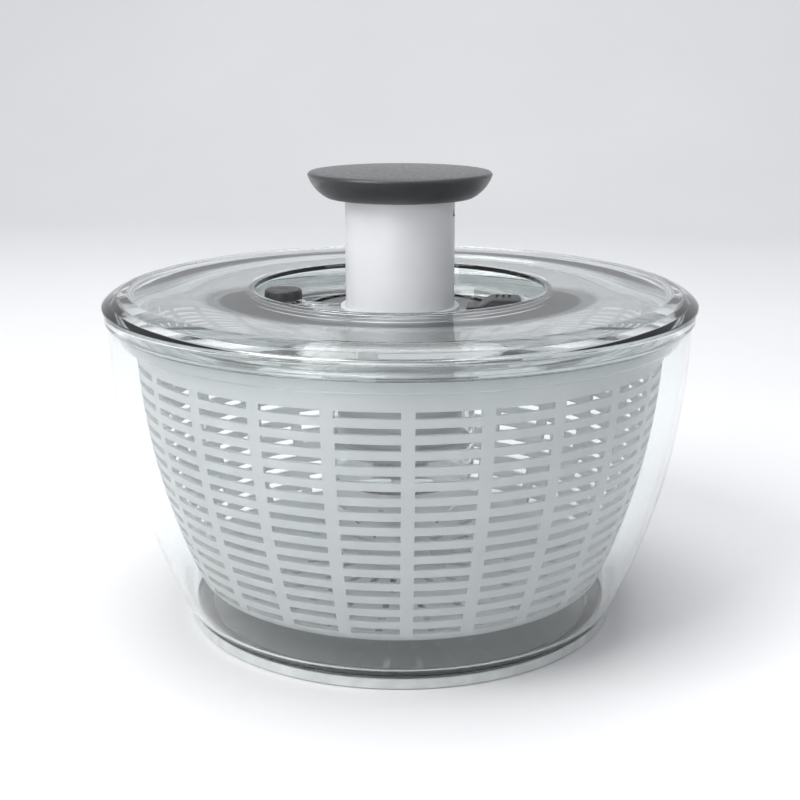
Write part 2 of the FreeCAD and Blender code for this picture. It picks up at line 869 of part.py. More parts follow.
def pump_column():
    """The white tube under the knob, with three guide lugs at its foot and two windows for the lock bolt."""
    inner = d.column_radius - d.column_wall
    body = revolved(
        "pump_column",
        [
            (inner, d.column_foot),
            (d.column_radius, d.column_foot),
            (d.column_radius, d.column_top),
            (13.0, d.column_top),
            (13.0, d.column_top - 2.3),
            (inner, d.column_top - 2.3),
        ],
    )
    lug = box_loop(-d.lug_radius, -(inner + 0.5), -d.lug_width / 2, d.lug_width / 2)
    lugs = add(body, "XY_Plane", [lug], d.lug_height, level=d.column_foot)
    around(body, lugs, 3)
    half = d.bolt_half_width + 0.5
    low, high = d.bolt_under - 0.5, d.bolt_under + d.bolt_thick + 0.6
    windows = [box_loop(-half, half, low + up, high + up) for up in (0.0, d.stroke)]
    cut(body, "YZ_Plane", windows, d.column_radius + 5.0, up=True)
    foot, top = d.column_top - 3.0, d.column_top + 1.0
    sinks = screws("column_holes", COLUMN_SCREW_RADIUS, 3, foot, top, shank=1.45, head=1.5)
    return labelled(part_cut("pump_column_drilled", body, sinks), "pump_column")


def nut_carrier():
    """The inner tube that holds the nut and whose flange takes the spring's push."""
    flange_top = d.column_top - 2.32
    flange = d.column_radius - d.column_wall - 0.2
    body = revolved(
        "nut_carrier",
        [
            (d.carrier_bore, d.nut_under + d.nut_height),
            (d.carrier_bore, d.nut_under - 0.02),
            (d.carrier_radius, d.nut_under - 0.02),
            (d.carrier_radius, flange_top - 2.4),
            (flange, flange_top - 2.4),
            (flange, flange_top),
            (d.carrier_bore - 1.2, flange_top),
            (d.carrier_bore - 1.2, d.nut_under + d.nut_height + 1.2),
            (d.carrier_bore - 1.2, d.nut_under + d.nut_height),
        ],
    )
    foot, top = flange_top - 2.41, flange_top + 2.0
    sinks = countersinks(body, COLUMN_SCREW_RADIUS, 3, foot, top, shank=1.3, head=2.6)
    return labelled(part_cut("nut_carrier_drilled", body, sinks), "nut_carrier")


def twisted_strip(label, play):
    """A flat strip twisted about Z at the spindle's lead, thicker and wider by twice the play."""
    foot, top = SIZES["strip_foot"], SIZES["strip_top"]
    half_w = SIZES["strip_width"] / 2 + play
    half_t = SIZES["strip_thick"] / 2 + play
    corners = [(-half_w, -half_t), (half_w, -half_t), (half_w, half_t), (-half_w, half_t)]
    outline = Part.makePolygon([V(x, y, foot) for x, y in corners + corners[:1]])
    helix = Part.makeHelix(SIZES["spindle_lead"], top - foot, 10.0)
    helix.translate(V(0, 0, foot))
    sweep = Part.BRepOffsetAPI.MakePipeShell(Part.Wire([Part.makeLine(V(0, 0, foot), V(0, 0, top))]))
    sweep.setAuxiliarySpine(Part.Wire(helix.Edges), True, 0)
    sweep.add(outline)
    sweep.build()
    sweep.makeSolid()
    strip = doc.addObject("Part::Feature", label)
    strip.Shape = sweep.shape()
    return strip


def drive_nut():
    """The nut in the carrier's foot, whose slot follows the spindle's twist with a little play."""
    blank = revolved(
        "drive_nut_blank",
        [
            (0.0, d.nut_under),
            (d.carrier_bore - 0.03, d.nut_under),
            (d.carrier_bore - 0.03, d.nut_under + d.nut_height - 0.03),
            (0.0, d.nut_under + d.nut_height - 0.03),
        ],
    )
    return part_cut("drive_nut", blank, twisted_strip("nut_slot", SIZES["strip_play"]))


def return_spring():
    """The long spring between the housing's floor and the carrier's flange."""
    foot = d.housing_seat + 0.02
    top = d.column_top - 2.32 - 2.4 - 0.02
    return coil("return_spring", d.spring_radius, d.spring_wire, foot, top, d.spring_turns_count)


def spindle():
    """The twisted steel strip with its journal, thrust collar and spigot for the ratchet."""
    shaft = revolved(
        "spindle_shaft",
        [
            (1.0, d.driver_face),
            (3.0, d.driver_face),
            (3.0, d.housing_under - 0.5),
            (4.0, d.housing_under - 0.5),
            (4.0, d.strip_foot - 2.0),
            (6.4, d.strip_foot - 2.0),
            (6.4, d.strip_foot + 0.2),
            (0.0, d.strip_foot + 0.2),
            (0.0, d.driver_face + 4.4),
            (1.0, d.driver_face + 4.4),
        ],
    )
    return part_fuse("spindle", twisted_strip("strip", 0.0), shaft)


def saw_tooth(face, height, width, way):
    """A saw tooth seen along the radius, standing off a face."""
    root_level = face - way * 0.1
    return [(-width / 2, root_level), (width / 2, root_level), (width / 2, face + height * way)]


def ratchet_driver():
    """The upper half of the one-way clutch, on the spindle. It is drawn lifted out of mesh."""
    body = revolved(
        "ratchet_driver",
        [
            (3.02, d.driver_face),
            (d.ratchet_radius, d.driver_face),
            (d.ratchet_radius, d.driver_face + 3.2),
            (6.0, d.housing_under - 0.6),
            (3.02, d.housing_under - 0.6),
        ],
    )
    tooth = saw_tooth(d.driver_face, d.tooth_height, d.tooth_width, -1)
    teeth = add(body, "YZ_Plane", [tooth], d.ratchet_radius - 7.0, level=7.0)
    around(body, teeth, d.ratchet_teeth_count)
    return body


def ratchet_ring():
    """The lower half of the clutch, screwed into the disc's cup."""
    cup_floor = d.cup_under + 2.0
    body = revolved(
        "ratchet_ring",
        [
            (5.5, cup_floor + 0.02),
            (d.ratchet_radius + 1.5, cup_floor + 0.02),
            (d.ratchet_radius + 1.5, d.driven_face),
            (5.5, d.driven_face),
        ],
    )
    tooth = saw_tooth(d.driven_face, d.tooth_height, d.tooth_width, 1)
    teeth = add(body, "YZ_Plane", [tooth], d.ratchet_radius - 7.0, level=7.0)
    around(body, teeth, d.ratchet_teeth_count)
    foot, top = cup_floor - 1.0, cup_floor + 1.9
    holes = screws("ratchet_holes", RATCHET_SCREW_RADIUS, 3, foot, top, shank=1.05, head=1.1)
    return labelled(part_cut("ratchet_ring_drilled", body, holes), "ratchet_ring")


# ---------------------------------------------------------------- disc


def drive_disc():
    """The clear disc over the basket: a deep cup round the housing, a dished web and a rim with lugs."""
    low_under = d.disc_low_top - d.disc_thick
    rim_under = d.basket_top + 0.1
    rim_top = rim_under + 2.1
    floor_top = d.cup_under + 2.0
    groove_r = d.cup_inner + 0.95
    body = revolved(
        "drive_disc",
        [
            (0.0, d.cup_under),
            (d.cup_outer - 4.4, d.cup_under),
            (d.cup_outer, d.cup_under + 4.4, 4.4, 1),
            (d.cup_outer, low_under - 3.0),
            (d.cup_outer + 3.0, low_under, 3.0, -1),
            (75.0, low_under),
            (111.4, rim_under),
            (d.disc_lip_radius - 2.0, rim_under),
            (d.disc_lip_radius - 2.0, d.disc_lip_under),
            (d.disc_lip_radius, d.disc_lip_under),
            (d.disc_lip_radius, rim_under),
            (d.disc_radius, rim_under),
            (d.disc_radius, rim_top - 0.8),
            (d.disc_radius - 0.8, rim_top, 0.8, 1),
            (110.6, rim_top),
            (74.6, d.disc_low_top),
            (d.cup_inner + 2.0, d.disc_low_top),
            (d.cup_inner, d.disc_low_top - 2.0, 2.0, 1),
            (d.cup_inner, d.housing_seat + 2.45),
            (groove_r, d.housing_seat + 2.45),
            (groove_r, d.housing_seat),
            (d.cup_inner - 0.3, d.housing_seat),
            (d.cup_inner - 0.3, floor_top + 2.0),
            (d.cup_inner - 2.3, floor_top, 2.0, -1),
            (0.0, floor_top),
        ],
    )
    lug = box_loop(d.disc_lip_radius - 1.0, d.basket_band_outer - 1.5, -3.5, 3.5)
    lugs = add(body, "XY_Plane", [lug], rim_under - d.disc_lip_under + 0.2, level=d.disc_lip_under)
    around(body, lugs, d.drive_lugs_count)
    sinks = countersinks(
        body, RATCHET_SCREW_RADIUS, 3, d.cup_under - 0.01, d.cup_under + 4.0, shank=1.05, head=2.1
    )
    return labelled(part_cut("drive_disc_drilled", body, sinks), "drive_disc")


def retaining_ring():
    """The split ring in the cup's groove. It runs on the housing's lip, so the disc lifts with the lid."""
    body = revolved(
        "retaining_ring",
        [
            (d.housing_outer + 0.5, d.housing_seat + 0.05),
            (d.cup_inner + 0.85, d.housing_seat + 0.05),
            (d.cup_inner + 0.85, d.housing_seat + 2.35),
            (d.housing_outer + 0.5, d.housing_seat + 2.35),
        ],
    )
    cut(body, "XY_Plane", [box_loop(20.0, 40.0, -3.0, 3.0)], 5.0, level=d.housing_seat, up=True)
    return body


# ---------------------------------------------------------------- brake


def brake_button():
    """The dark round button: hollow below for its spring, with a socket for the stem and a dished top."""
    crown = d.brake_radius - 1.5
    dish = dim(0.4)
    dish_arc = (crown * crown + dish * dish) / (dish * 2.0)
    return at_brake(
        revolved(
            "brake_button",
            [
                (0.0, d.brake_under + 3.3),
                (d.stem_radius + 0.02, d.brake_under + 3.3),
                (d.stem_radius + 0.02, d.brake_under),
                (4.9, d.brake_under),
                (4.9, d.brake_under + 2.5),
                (d.brake_radius - 1.5, d.brake_under + 2.5),
                (d.brake_radius - 1.5, d.brake_under),
                (d.brake_radius, d.brake_under),
                (d.brake_radius - 0.4, d.brake_top - 1.1),
                (crown, d.brake_top, 1.1, 1),
                (0.0, d.brake_top - dish, dish_arc, -1),
            ],
        )
    )


def at_brake(body):
    """Moves a body that is turned about Z to the brake's place."""
    body.Placement = FreeCAD.Placement(V(-SIZES["brake_at"], 0, 0), FreeCAD.Rotation())
    body.setExpression(".Placement.Base.x", (-d.brake_at).text)
    return body


def brake_stem():
    """The stem under the button. Its foot stops on the lid's floor and holds the pad."""
    foot_top = d.well_floor_under - 0.05
    return at_brake(
        revolved(
            "brake_stem",
            [
                (0.0, foot_top - 1.95),
                (6.2, foot_top - 1.95),
                (6.2, foot_top),
                (d.stem_radius, foot_top),
                (d.stem_radius, d.brake_under + 3.25),
                (0.0, d.brake_under + 3.25),
            ],
        )
    )


def brake_pad():
    """The rubber pad that stops the disc, with a shallow groove round its face."""
    top = d.well_floor_under - 0.05 - 1.97
    return at_brake(
        revolved(
            "brake_pad",
            [
                (0.0, d.pad_under),
                (4.0, d.pad_under),
                (4.4, d.pad_under + 0.5),
                (5.0, d.pad_under),
                (d.pad_radius - 0.5, d.pad_under),
                (d.pad_radius, d.pad_under + 0.5, 0.5, 1),
                (d.pad_radius, top),
                (0.0, top),
            ],
        )
    )


def brake_spring():
    """The small spring between the lid's floor and the button."""
    spring = coil("brake_spring", 5.6, 0.6, d.well_floor_top + 0.02, d.brake_under + 2.48, 4.0)
    moved = doc.addObject("Part::Compound", "brake_spring_moved")
    moved.Links = [spring]
    at_brake(moved)
    return labelled(moved, "brake_spring")


# ---------------------------------------------------------------- lock


def lock_slider():
    """The dark thumb piece: a wedge with three grip grooves, and a neck down to the bolt."""
    foot = d.well_floor_top + 0.1
    body = new_body("lock_slider")
    outline = [
        (d.lock_tip, foot),
        (d.lock_tail, foot),
        (d.lock_tail, foot + 2.4),
        (d.lock_tail - 2.4, d.lock_top, 2.4, 1),
        (d.lock_tip + 11.4, d.lock_top),
        (d.lock_tip + 5.8, foot + 1.7, 26.0, 1),
        (d.lock_tip + 0.6, foot + 1.3),
        (d.lock_tip, foot + 0.7),
    ]
    add(body, "XZ_Plane", [outline], d.lock_half_width * 2, both=True)
    rounded(body, 0.8, lambda box: box.ZMax > SIZES["lock_top"] - 3.4 and box.YLength < 0.01)
    grooves = [box_loop(x, x + 1.2, d.lock_top - 0.7, d.lock_top + 1.0) for x in (43.6, 46.4, 49.2)]
    cut(body, "XZ_Plane", grooves, d.lock_half_width * 2 - 3.2, both=True)
    neck = box_loop(40.0, 48.0, -2.5, 2.5)
    add(body, "XY_Plane", [neck], foot + 0.2 - d.bolt_under, level=foot + 0.2, up=False)
    return body


def lock_bolt():
    """The white bolt on the slider's neck. Its tongue enters a window in the column."""
    body = new_body("lock_bolt")
    half = d.bolt_half_width
    tongue = [
        (d.bolt_tip, -(half - 1.0)),
        (d.bolt_tip + 1.0, -half),
        (d.bolt_tail - 2.0, -half),
        (d.bolt_tail, -(half - 2.0), 2.0, 1),
        (d.bolt_tail, half - 2.0),
        (d.bolt_tail - 2.0, half, 2.0, 1),
        (d.bolt_tip + 1.0, half),
        (d.bolt_tip, half - 1.0),
    ]
    neck = box_loop(39.95, 48.05, -2.55, 2.55)
    add(body, "XY_Plane", [tongue, neck], d.bolt_thick, level=d.bolt_under)
    return body


# ---------------------------------------------------------------- fasteners


def housing_screws():
    head, tip = d.well_floor_under - 2.6, d.well_floor_under + 2.0
    return screws("housing_screws", HOUSING_SCREW_RADIUS, 4, head, tip, degrees=45.0)


def column_screws():
    under = d.column_top - 2.32 - 2.4
    return screws("column_screws", COLUMN_SCREW_RADIUS, 3, under, d.column_top, shank=1.25)


def ratchet_screws():
    head, tip = d.cup_under, d.cup_under + 3.8
    return screws("ratchet_screws", RATCHET_SCREW_RADIUS, 3, head, tip, shank=1.0, head=2.0)


def spindle_screw():
    """The screw that holds the ratchet on the spindle."""
    return revolved(
        "spindle_screw",
        [
            (0.0, d.driver_face - 1.6),
            (3.4, d.driver_face - 1.6),
            (4.2, d.driver_face - 0.8, 0.8, 1),
            (4.2, d.driver_face - 0.02),
            (0.98, d.driver_face - 0.02),
            (0.98, d.driver_face + 4.2),
            (0.0, d.driver_face + 4.2),
        ],
    )


def keeper_screws():
    """Two round-headed screws through the keeper's rails into the lid's floor."""
    head_under = d.bolt_under - 2.1
    body = new_body("keeper_screws", several=True)
    heads = [(KEEPER_SCREW_X, side * KEEPER_SCREW_Y, 2.0) for side in (-1, 1)]
    shanks = [(x, y, 1.2) for x, y, _ in heads]
    add(body, "XY_Plane", [], 1.0, level=head_under - 0.02, up=False, circles=heads)
    length = d.well_floor_under + 2.0 - head_under + 0.5
    add(body, "XY_Plane", [], length, level=head_under - 0.5, circles=shanks)
    return body


def clutch_spring():
    """The light spring that lifts the spindle's ratchet out of mesh."""
    return coil("clutch_spring", 5.3, 0.5, d.housing_seat + 1.02, d.strip_foot - 2.02, 2.0)


# ---------------------------------------------------------------- build and write

PIECES = [
    bowl,
    base_ring,
    pivot_pin,
    pivot_cup,
    basket,
    lid_shell,
    guide_ring,
    pump_housing,
    housing_screws,
    spindle_bush,
    clutch_spring,
    lock_keeper,
    keeper_screws,
    knob_cap,
    knob_core,
    pump_column,
    nut_carrier,
    column_screws,
    drive_nut,
    return_spring,
    spindle,
    ratchet_driver,
    spindle_screw,
    ratchet_ring,
    ratchet_screws,
    drive_disc,
    retaining_ring,
    brake_button,
    brake_stem,
    brake_pad,
    brake_spring,
    lock_slider,
    lock_bolt,
]

nodes = {piece.__name__: piece() for piece in PIECES}
doc.recompute()

for thing in doc.Objects:
    wrong = [state for state in thing.State if state in ("Invalid", "Error")]
    if wrong:
        raise RuntimeError(f"{thing.Label} is {wrong}")

os.makedirs("parts", exist_ok=True)
for name, node in nodes.items():
    shape = node.Shape
    if shape.isNull() or not shape.isValid() or not shape.Solids:
        raise RuntimeError(f"{name} has no valid solid")
    shape.exportStep(f"parts/{name}.step")
    print(f"{name:16} {len(shape.Solids)} solid(s)  {shape.Volume:10.1f} mm3")
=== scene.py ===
import json
import math

import bmesh
import bpy
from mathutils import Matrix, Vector


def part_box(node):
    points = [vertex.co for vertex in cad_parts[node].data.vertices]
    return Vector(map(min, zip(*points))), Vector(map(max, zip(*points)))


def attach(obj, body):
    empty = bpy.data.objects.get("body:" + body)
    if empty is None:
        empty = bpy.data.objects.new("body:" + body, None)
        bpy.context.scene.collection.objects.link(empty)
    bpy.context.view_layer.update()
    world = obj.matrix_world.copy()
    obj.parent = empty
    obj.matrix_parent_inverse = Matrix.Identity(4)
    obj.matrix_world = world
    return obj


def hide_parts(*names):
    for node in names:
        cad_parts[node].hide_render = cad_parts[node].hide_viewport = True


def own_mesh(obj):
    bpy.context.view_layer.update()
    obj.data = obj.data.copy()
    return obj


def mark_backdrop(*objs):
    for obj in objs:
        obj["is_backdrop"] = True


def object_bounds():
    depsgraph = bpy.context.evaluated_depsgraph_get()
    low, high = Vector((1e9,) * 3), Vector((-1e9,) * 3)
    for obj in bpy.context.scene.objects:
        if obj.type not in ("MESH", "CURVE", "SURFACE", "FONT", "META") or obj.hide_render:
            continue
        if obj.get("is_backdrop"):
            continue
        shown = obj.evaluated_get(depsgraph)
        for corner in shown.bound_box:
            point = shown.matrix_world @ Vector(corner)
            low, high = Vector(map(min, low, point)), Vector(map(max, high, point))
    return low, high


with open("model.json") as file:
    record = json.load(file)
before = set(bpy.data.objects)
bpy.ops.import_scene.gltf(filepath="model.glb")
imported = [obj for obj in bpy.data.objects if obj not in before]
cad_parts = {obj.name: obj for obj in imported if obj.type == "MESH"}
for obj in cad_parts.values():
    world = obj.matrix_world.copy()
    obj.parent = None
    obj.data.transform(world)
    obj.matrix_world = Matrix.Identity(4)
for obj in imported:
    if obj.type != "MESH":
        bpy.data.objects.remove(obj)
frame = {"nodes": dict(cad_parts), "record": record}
cad_low, cad_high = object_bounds()
scene = bpy.context.scene
nodes = frame["nodes"]
slot_of = {s["node"]: s["material_slot"] for s in frame["record"]["subparts"]}
MM = 0.001


# ---------------------------------------------------------------- materials


class Graph:
    """A short way to build a material's nodes."""

    def __init__(self, name):
        self.material = bpy.data.materials.new(name)
        self.material.use_nodes = True
        self.tree = self.material.node_tree
        self.shader = self.tree.nodes["Principled BSDF"]
        self.coords = self.tree.nodes.new("ShaderNodeTexCoord").outputs["Object"]

    def node(self, kind, inputs=None, **settings):
        """A new shader node with its settings, and its inputs linked to sockets or set to values."""
        made = self.tree.nodes.new(f"ShaderNode{kind}")
        for key, value in settings.items():
            setattr(made, key, value)
        for key, value in (inputs or {}).items():
            if isinstance(value, bpy.types.NodeSocket):
                self.tree.links.new(value, made.inputs[key])
            else:
                made.inputs[key].default_value = value
        return made

    def stretched(self, x, y, z):
        """Object coordinates scaled along each axis."""
        return self.node("Mapping", {"Vector": self.coords, "Scale": (x, y, z)}).outputs["Vector"]

    def noise(self, scale, detail=3.0, where=None, roughness=0.5):
        """Noise with so many waves to the metre, as a texture value."""
        made = self.node(
            "TexNoise",
            {"Vector": where or self.coords, "Scale": scale, "Detail": detail, "Roughness": roughness},
        )
        return made.outputs["Fac"]

    def between(self, fac, low, high, start=0.35, end=0.65):
        """The number between low and high that a texture value picks."""
        made = self.node(
            "MapRange",
            {"Value": fac, "From Min": start, "From Max": end, "To Min": low, "To Max": high},
        )
        return made.outputs["Result"]

    def mix(self, fac, first, second):
        """The colour between first and second that fac picks."""
        made = self.node("Mix", {"Factor": fac}, data_type="RGBA")
        colours = [s for s in made.inputs if s.type == "RGBA"]
        for socket, value in zip(colours, (first, second)):
            if isinstance(value, bpy.types.NodeSocket):
                self.tree.links.new(value, socket)
            else:
                socket.default_value = (*value, 1.0)
        return [s for s in made.outputs if s.type == "RGBA"][0]

    def sum(self, first, second, weight):
        """first plus second times weight."""
        made = self.node("Math", operation="MULTIPLY_ADD")
        self.tree.links.new(second, made.inputs[0])
        made.inputs[1].default_value = weight
        self.tree.links.new(first, made.inputs[2])
        return made.outputs["Value"]

    def bump(self, height, strength, depth):
        """Tilt the surface's normal by a height, with depth in metres."""
        made = self.node("Bump", {"Height": height, "Strength": strength, "Distance": depth})
        self.tree.links.new(made.outputs["Normal"], self.shader.inputs["Normal"])

    def set(self, **values):
        """Set or link the main shader's inputs, named with _ for each space."""
        for key, value in values.items():
            socket = self.shader.inputs[key.replace("_", " ")]
            if isinstance(value, bpy.types.NodeSocket):
                self.tree.links.new(value, socket)
            elif isinstance(value, tuple):
                socket.default_value = (*value, 1.0)
            else:
                socket.default_value = value
        return self


def clear_plastic():
    """Clear moulded plastic with a faint green tint, slow waviness and fine handling marks."""
    g = Graph("clear_plastic")
    wave = g.noise(22.0, 1.0)
    marks = g.noise(900.0, 4.0, g.stretched(1.0, 1.0, 0.12))
    tint = g.mix(g.between(g.noise(14.0, 2.0), 0.0, 1.0), (0.945, 0.972, 0.968), (0.962, 0.982, 0.98))
    g.set(Base_Color=tint, Roughness=g.between(marks, 0.004, 0.03, 0.5, 0.75), IOR=1.49)
    g.set(Transmission_Weight=1.0)
    g.bump(wave, 0.08, 0.0005)
    return g.material


def frosted_plastic():
    """Milky translucent plastic with the fine grain of a spark-eroded mould."""
    g = Graph("frosted_plastic")
    cloud = g.between(g.noise(30.0, 2.0), 0.0, 1.0)
    grain = g.noise(2600.0, 2.0)
    g.set(
        Base_Color=g.mix(cloud, (0.91, 0.93, 0.932), (0.945, 0.957, 0.96)),
        Roughness=g.between(grain, 0.3, 0.42),
        IOR=1.47,
        Transmission_Weight=0.42,
    )
    g.bump(grain, 0.12, 0.00008)
    return g.material


def white_plastic():
    """Satin light grey-white plastic."""
    g = Graph("white_plastic")
    cloud = g.between(g.noise(35.0, 3.0), 0.0, 1.0)
    grain = g.noise(1800.0, 3.0)
    g.set(
        Base_Color=g.mix(cloud, (0.62, 0.625, 0.645), (0.655, 0.66, 0.675)),
        Roughness=g.between(g.noise(260.0, 4.0), 0.28, 0.4),
        IOR=1.5,
    )
    g.bump(grain, 0.1, 0.00006)
    return g.material


def dark_rubber():
    """Charcoal soft-touch rubber with a velvety sheen and a fine leathery grain."""
    g = Graph("dark_rubber")
    cloud = g.between(g.noise(45.0, 4.0), 0.0, 1.0)
    cells = g.node("TexVoronoi", {"Vector": g.coords, "Scale": 1500.0}).outputs["Distance"]
    height = g.sum(cells, g.noise(3200.0, 2.0), 0.5)
    g.set(
        Base_Color=g.mix(cloud, (0.014, 0.014, 0.016), (0.024, 0.024, 0.027)),
        Roughness=g.between(g.noise(500.0, 3.0), 0.3, 0.42),
        IOR=1.5,
        Sheen_Weight=0.12,
        Sheen_Roughness=0.5,
    )
    g.bump(height, 0.18, 0.00008)
    return g.material


def dark_plastic():
    """Charcoal plastic with a spark-eroded grain, a little smoother where it is rubbed."""
    g = Graph("dark_plastic")
    cloud = g.between(g.noise(60.0, 3.0), 0.0, 1.0)
    grain = g.noise(2200.0, 4.0)
    g.set(
        Base_Color=g.mix(cloud, (0.03, 0.03, 0.032), (0.045, 0.045, 0.048)),
        Roughness=g.between(g.noise(220.0, 2.0), 0.36, 0.5),
        IOR=1.5,
    )
    g.bump(grain, 0.2, 0.00008)
    return g.material


def grey_rubber():
    """Pale grey non-slip rubber, dusty and matte."""
    g = Graph("grey_rubber")
    dust = g.between(g.noise(120.0, 5.0), 0.0, 1.0)
    g.set(
        Base_Color=g.mix(dust, (0.42, 0.44, 0.44), (0.5, 0.52, 0.52)),
        Roughness=g.between(g.noise(400.0, 3.0), 0.62, 0.78),
        IOR=1.5,
        Sheen_Weight=0.1,
    )
    g.bump(g.noise(1700.0, 4.0), 0.25, 0.0001)
    return g.material


def steel():
    """Bright drawn steel with fine drawing lines."""
    g = Graph("steel")
    lines = g.noise(1400.0, 3.0, g.stretched(1.0, 1.0, 0.05))
    g.set(
        Base_Color=g.mix(g.between(lines, 0.0, 1.0), (0.55, 0.55, 0.56), (0.68, 0.68, 0.69)),
        Roughness=g.between(lines, 0.2, 0.34),
        Metallic=1.0,
    )
    g.bump(lines, 0.08, 0.00005)
    return g.material


FINISH_MAKERS = (
    clear_plastic,
    frosted_plastic,
    white_plastic,
    dark_rubber,
    dark_plastic,
    grey_rubber,
    steel,
)
FINISHES = {make.__name__: make() for make in FINISH_MAKERS}

for name, node in nodes.items():
    node.data.materials.clear()
    node.data.materials.append(FINISHES[slot_of[name]])
    node.data.shade_smooth()


# ---------------------------------------------------------------- mesh building

SEGMENTS = 192
TINY = 1e-6
ARC_STEP_DEGREES = 9.0
ARC_STEP_MM = 6.0


def linked(name, data):
    """A new object in the scene."""
    made = bpy.data.objects.new(name, data)
    scene.collection.objects.link(made)
    return made


def finished(name, bm, smooth=True):
    """The object made from a bmesh, which is freed."""
    mesh = bpy.data.meshes.new(name)
    bm.to_mesh(mesh)
    bm.free()
    if smooth:
        mesh.shade_smooth()
    return linked(name, mesh)


def arc_points(start, end, radius, side):
    """Points after start up to end on the minor arc of that radius.

    Its centre lies left (side 1) or right (side -1) of the way from start to end.
    """
    chord = Vector((end[0] - start[0], end[1] - start[1]))
    left = Vector((-chord.y, chord.x)).normalized()
    reach = math.sqrt(max(radius**2 - (chord.length / 2) ** 2, 0.0))
    centre = (Vector(start) + Vector(end)) / 2 + left * (side * reach)
    first = math.atan2(start[1] - centre.y, start[0] - centre.x)
    last = math.atan2(end[1] - centre.y, end[0] - centre.x)
    turn = (last - first) % math.tau if side > 0 else -((first - last) % math.tau)
    steps_by_turn = math.ceil(abs(turn) / math.radians(ARC_STEP_DEGREES))
    steps_by_length = math.ceil(abs(turn) * radius / ARC_STEP_MM)
    steps = max(2, steps_by_turn, steps_by_length)
    angles = [first + turn * i / steps for i in range(1, steps + 1)]
    return [(centre.x + radius * math.cos(a), centre.y + radius * math.sin(a)) for a in angles]


def outline(corners):
    """A closed outline's points from corners (r, z) or (r, z, arc radius, side), in millimetres."""
    points = []
    for before, corner in zip([corners[-1], *corners], corners):
        if len(corner) == 4:
            points.extend(arc_points(before[:2], corner[:2], corner[2], corner[3]))
        else:
            points.append(corner[:2])
    return points


def walked(points, index, way, reach):
    """The point that lies reach along the outline from a corner, going forwards (1) or back (-1)."""
    here = Vector(points[index])
    count = len(points)
    for step in range(1, count):
        after = Vector(points[(index + way * step) % count])
        span = (after - here).length
        if span >= reach:
            return here.lerp(after, reach / span), step
        reach -= span
        here = after
    return here, count


def softened(points, soft, least_turn=20.0):
    """The outline with every sharp corner off the axis rounded by about soft millimetres."""
    count = len(points)
    kept = []
    dropped = set()
    arcs = {}
    for i in range(count):
        here = Vector(points[i])
        if here.x < TINY:
            continue
        before = here - Vector(points[i - 1])
        after = Vector(points[(i + 1) % count]) - here
        if before.length < TINY or after.length < TINY:
            continue
        if before.angle(after) < math.radians(least_turn):
            continue
        room = 0.45 * min(before.length, after.length)
        reach = min(soft, room) if room < soft / 2 else soft
        start, back = walked(points, i, -1, reach)
        end, ahead = walked(points, i, 1, reach)
        arcs[i] = [start.lerp(here, t).lerp(here.lerp(end, t), t) for t in (0.0, 0.25, 0.5, 0.75, 1.0)]
        dropped.update((i - k) % count for k in range(back))
        dropped.update((i + k) % count for k in range(ahead))
    for i in range(count):
        if i in arcs:
            kept.extend((p.x, p.y) for p in arcs[i])
        elif i not in dropped:
            kept.append(tuple(points[i]))
    return kept


def lathed(name, corners, soft=0.35, segments=SEGMENTS, at=(0.0, 0.0)):
    """A mesh object turned about Z from an outline, with its sharp corners rounded."""
    bm = bmesh.new()
    turns = [math.tau * k / segments for k in range(segments)]
    rings = []
    for r, z in softened(outline(corners), soft):
        if r < TINY:
            pole = bm.verts.new((at[0] * MM, at[1] * MM, z * MM))
            rings.append([pole] * segments)
            continue
        ring = []
        for a in turns:
            x = at[0] + r * math.cos(a)
            y = at[1] + r * math.sin(a)
            ring.append(bm.verts.new((x * MM, y * MM, z * MM)))
        rings.append(ring)
    for ring, after in zip(rings, rings[1:] + rings[:1]):
        for k in range(segments):
            following = (k + 1) % segments
            face = list(dict.fromkeys([ring[k], ring[following], after[following], after[k]]))
            if len(face) > 2:
                bm.faces.new(face)
    bmesh.ops.recalc_face_normals(bm, faces=bm.faces)
    return finished(name, bm)


def carved(piece, cutters, how="DIFFERENCE"):
    """The piece with its cutters taken away or joined on, as a plain mesh.

    The boolean can leave out a face of three or four sides, so such gaps are filled.
    """
    for cutter in cutters:
        step = piece.modifiers.new("carve", "BOOLEAN")
        step.operation = how
        step.solver = "EXACT"
        step.object = cutter
    bpy.context.view_layer.update()
    depsgraph = bpy.context.evaluated_depsgraph_get()
    mesh = bpy.data.meshes.new_from_object(piece.evaluated_get(depsgraph))
    piece.modifiers.clear()
    bm = bmesh.new()
    bm.from_mesh(mesh)
    rims = [edge for edge in bm.edges if edge.is_boundary]
    bmesh.ops.holes_fill(bm, edges=rims, sides=4)
    bm.to_mesh(mesh)
    bm.free()
    old = piece.data
    piece.data = mesh
    bpy.data.meshes.remove(old)
    for cutter in cutters:
        bpy.data.objects.remove(cutter)
    return piece


def block(name, low, high):
    """A box for carving with, between two corners in millimetres."""
    bm = bmesh.new()
    cube = bmesh.ops.create_cube(bm, size=1.0)
    for v in cube["verts"]:
        v.co = Vector([(a + b) / 2 + (b - a) * c for a, b, c in zip(low, high, v.co)]) * MM
    return finished(name, bm, smooth=False)


def placed(piece, body, node):
    """A piece that stands for a CAD node: it gets the node's slot and finish, and rides on its body."""
    finish = slot_of[node]
    piece.data.materials.clear()
    piece.data.materials.append(FINISHES[finish])
    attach(piece, body)
    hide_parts(node)
    return piece


# ---------------------------------------------------------------- bowl

# The bowl's and the basket's sides are arcs about one centre (r, z), in millimetres.
SIDE_R, SIDE_Z = -179.0, 140.0

